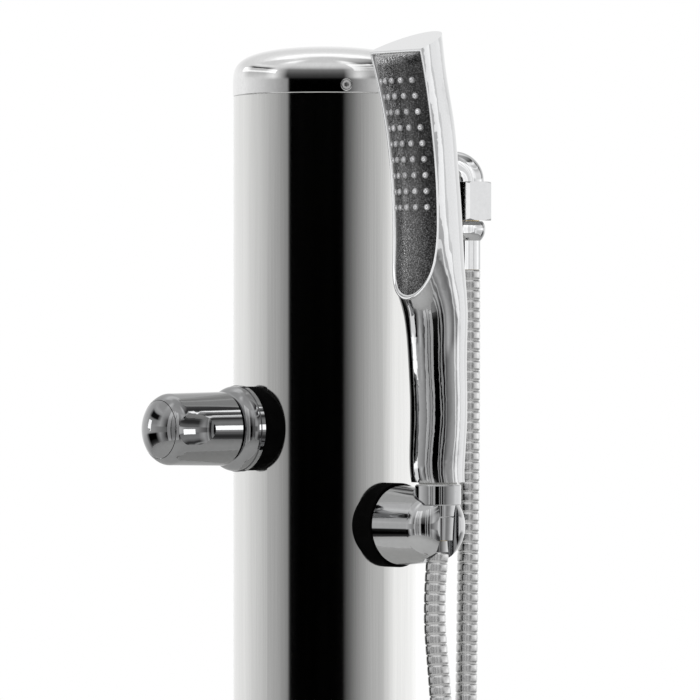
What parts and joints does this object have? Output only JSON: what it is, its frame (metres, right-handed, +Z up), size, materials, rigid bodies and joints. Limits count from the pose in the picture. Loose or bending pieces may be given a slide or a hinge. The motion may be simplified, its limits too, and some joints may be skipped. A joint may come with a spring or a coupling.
{
  "type": "outdoor shower post",
  "caption": "Brushed round shower post with domed cap, stop tap, side holder with a long hand shower and a ribbed metal hose, on a bolted round floor flange.",
  "frame": {"origin": "on the post's axis at the floor face of the flange, the centre of the anchor hole circle", "axes": "+Z up along the post, -Y to the front (the side between tap and holder), +X to the right, where the hose outlet is"},
  "size_m": [0.1944, 0.2073, 1.1547],
  "materials": {
    "brushed_stainless": "vertically brushed",
    "polished_stainless": "polished",
    "chrome_plate": "mirror chrome plate",
    "hose_steel": "polished ribbed steel",
    "black_rubber": "matt",
    "nozzle_rubber": "matt grey",
    "brass": "machined",
    "plain_stainless": "plain",
    "ceramic": "lapped",
    "spray_plate": "fine grained dark grey",
    "inner_plastic": "plain moulded"
  },
  "bodies": {
    "post": {"post_tube": "brushed_stainless", "base_flange": "brushed_stainless", "top_cap": "polished_stainless", "tap_rosette": "chrome_plate", "holder_body": "chrome_plate", "outlet_elbow": "chrome_plate", "hose_outlet_nut": "chrome_plate", "hose_outlet_sleeve": "chrome_plate", "hose": "hose_steel", "tap_gasket": "black_rubber", "holder_gasket": "black_rubber", "inlet_gasket": "black_rubber", "outlet_gasket": "black_rubber", "outlet_washer": "black_rubber", "inlet_nipple": "brass", "inlet_back_nut": "brass", "outlet_back_nut": "brass", "tap_valve_body": "brass", "tap_cartridge": "brass", "hose_outlet_tail": "brass", "riser_nuts": "brass", "cap_insert": "plain_stainless", "cap_set_screw": "plain_stainless", "holder_bolt": "plain_stainless", "holder_washer": "plain_stainless", "riser_lower": "plain_stainless", "riser_upper": "plain_stainless", "tap_fixed_disc": "ceramic"},
    "tap": {"tap_moving_disc": "ceramic", "tap_spindle": "brass", "tap_spindle_seal": "black_rubber", "tap_handle": "chrome_plate", "tap_handle_screw": "plain_stainless", "tap_index_cap": "chrome_plate"},
    "hose_end": {"hose_tail": "brass", "hose_sleeve": "chrome_plate"},
    "handset": {"hose_cone_nut": "chrome_plate", "handset_washer": "black_rubber", "handset_nipple": "inner_plastic", "handset_shell": "chrome_plate", "handset_face": "spray_plate", "handset_nozzles": "nozzle_rubber", "handset_chamber": "inner_plastic", "handset_water_tube": "inner_plastic"}
  },
  "joints": [
    {"name": "tap_turn", "type": "hinge", "parent": "post", "child": "tap", "pos_m": [-0.0788, -0.06157, 0.939], "axis": [-0.788, -0.6157, 0], "range_deg": [0, 90]},
    {"name": "cone_lift", "type": "slide", "parent": "post", "child": "hose_end", "axis": [0, 0, 1], "range_m": [0, 0.08]},
    {"name": "handset_turn", "type": "hinge", "parent": "hose_end", "child": "handset", "pos_m": [0.06148, -0.06366, 0.91], "axis": [0, 0, 1], "continuous": true}
  ]
}
